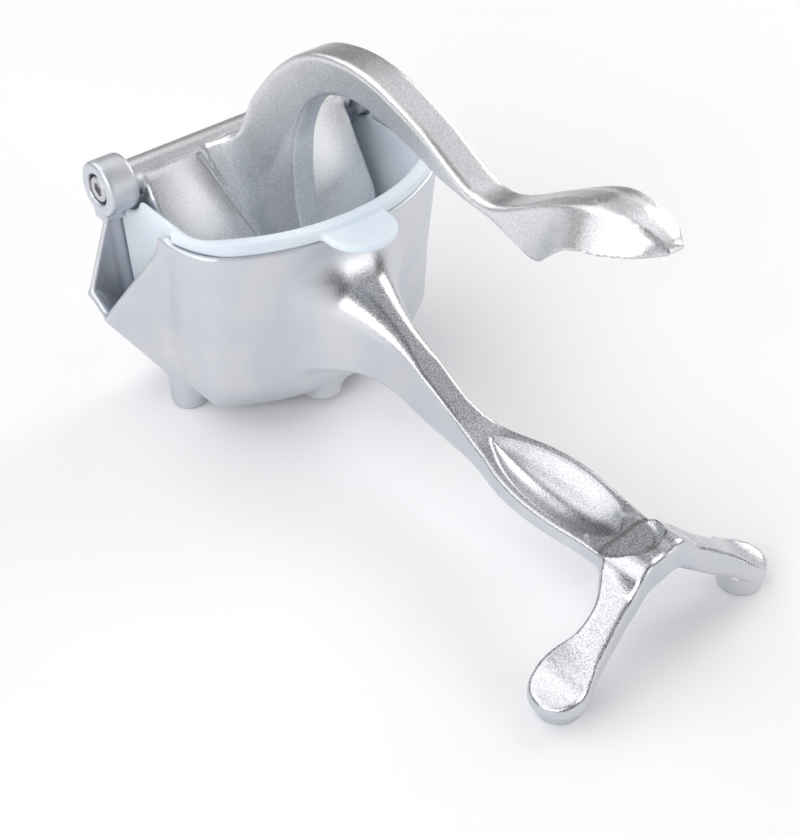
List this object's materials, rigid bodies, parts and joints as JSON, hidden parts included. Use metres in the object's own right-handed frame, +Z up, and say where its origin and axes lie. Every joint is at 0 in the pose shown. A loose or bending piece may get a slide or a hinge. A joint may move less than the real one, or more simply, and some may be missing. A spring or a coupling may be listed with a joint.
{
  "type": "citrus press",
  "caption": "Hand-lever citrus press: D-shaped hopper with side spout and fixed T-footed handle, hinged press lever, lift-out strainer cup.",
  "frame": {"origin": "middle of the bounding box on the plane of the four feet", "axes": "+X from the hopper's flat back along the fixed handle to the front feet, +Z up, the spout on the -Y side"},
  "size_m": [0.2144, 0.1158, 0.1349],
  "materials": {
    "hopper_aluminium": "satin, tumbled casting",
    "lever_aluminium": "bright, fine shot-blast grain",
    "strainer_plastic": "smooth, slightly milky pale blue",
    "screw_steel": "turned, dull zinc"
  },
  "bodies": {
    "base": {"body_casting": "hopper_aluminium", "strainer_basket": "strainer_plastic"},
    "lever": {"press_lever": "lever_aluminium", "pivot_screw_near": "screw_steel", "pivot_screw_far": "screw_steel"}
  },
  "joints": [
    {"name": "lever_hinge", "type": "hinge", "parent": "base", "child": "lever", "pos_m": [-0.0981, 0.0036, 0.0804], "axis": [0, -1, 0], "range_deg": [-27, 90]}
  ]
}
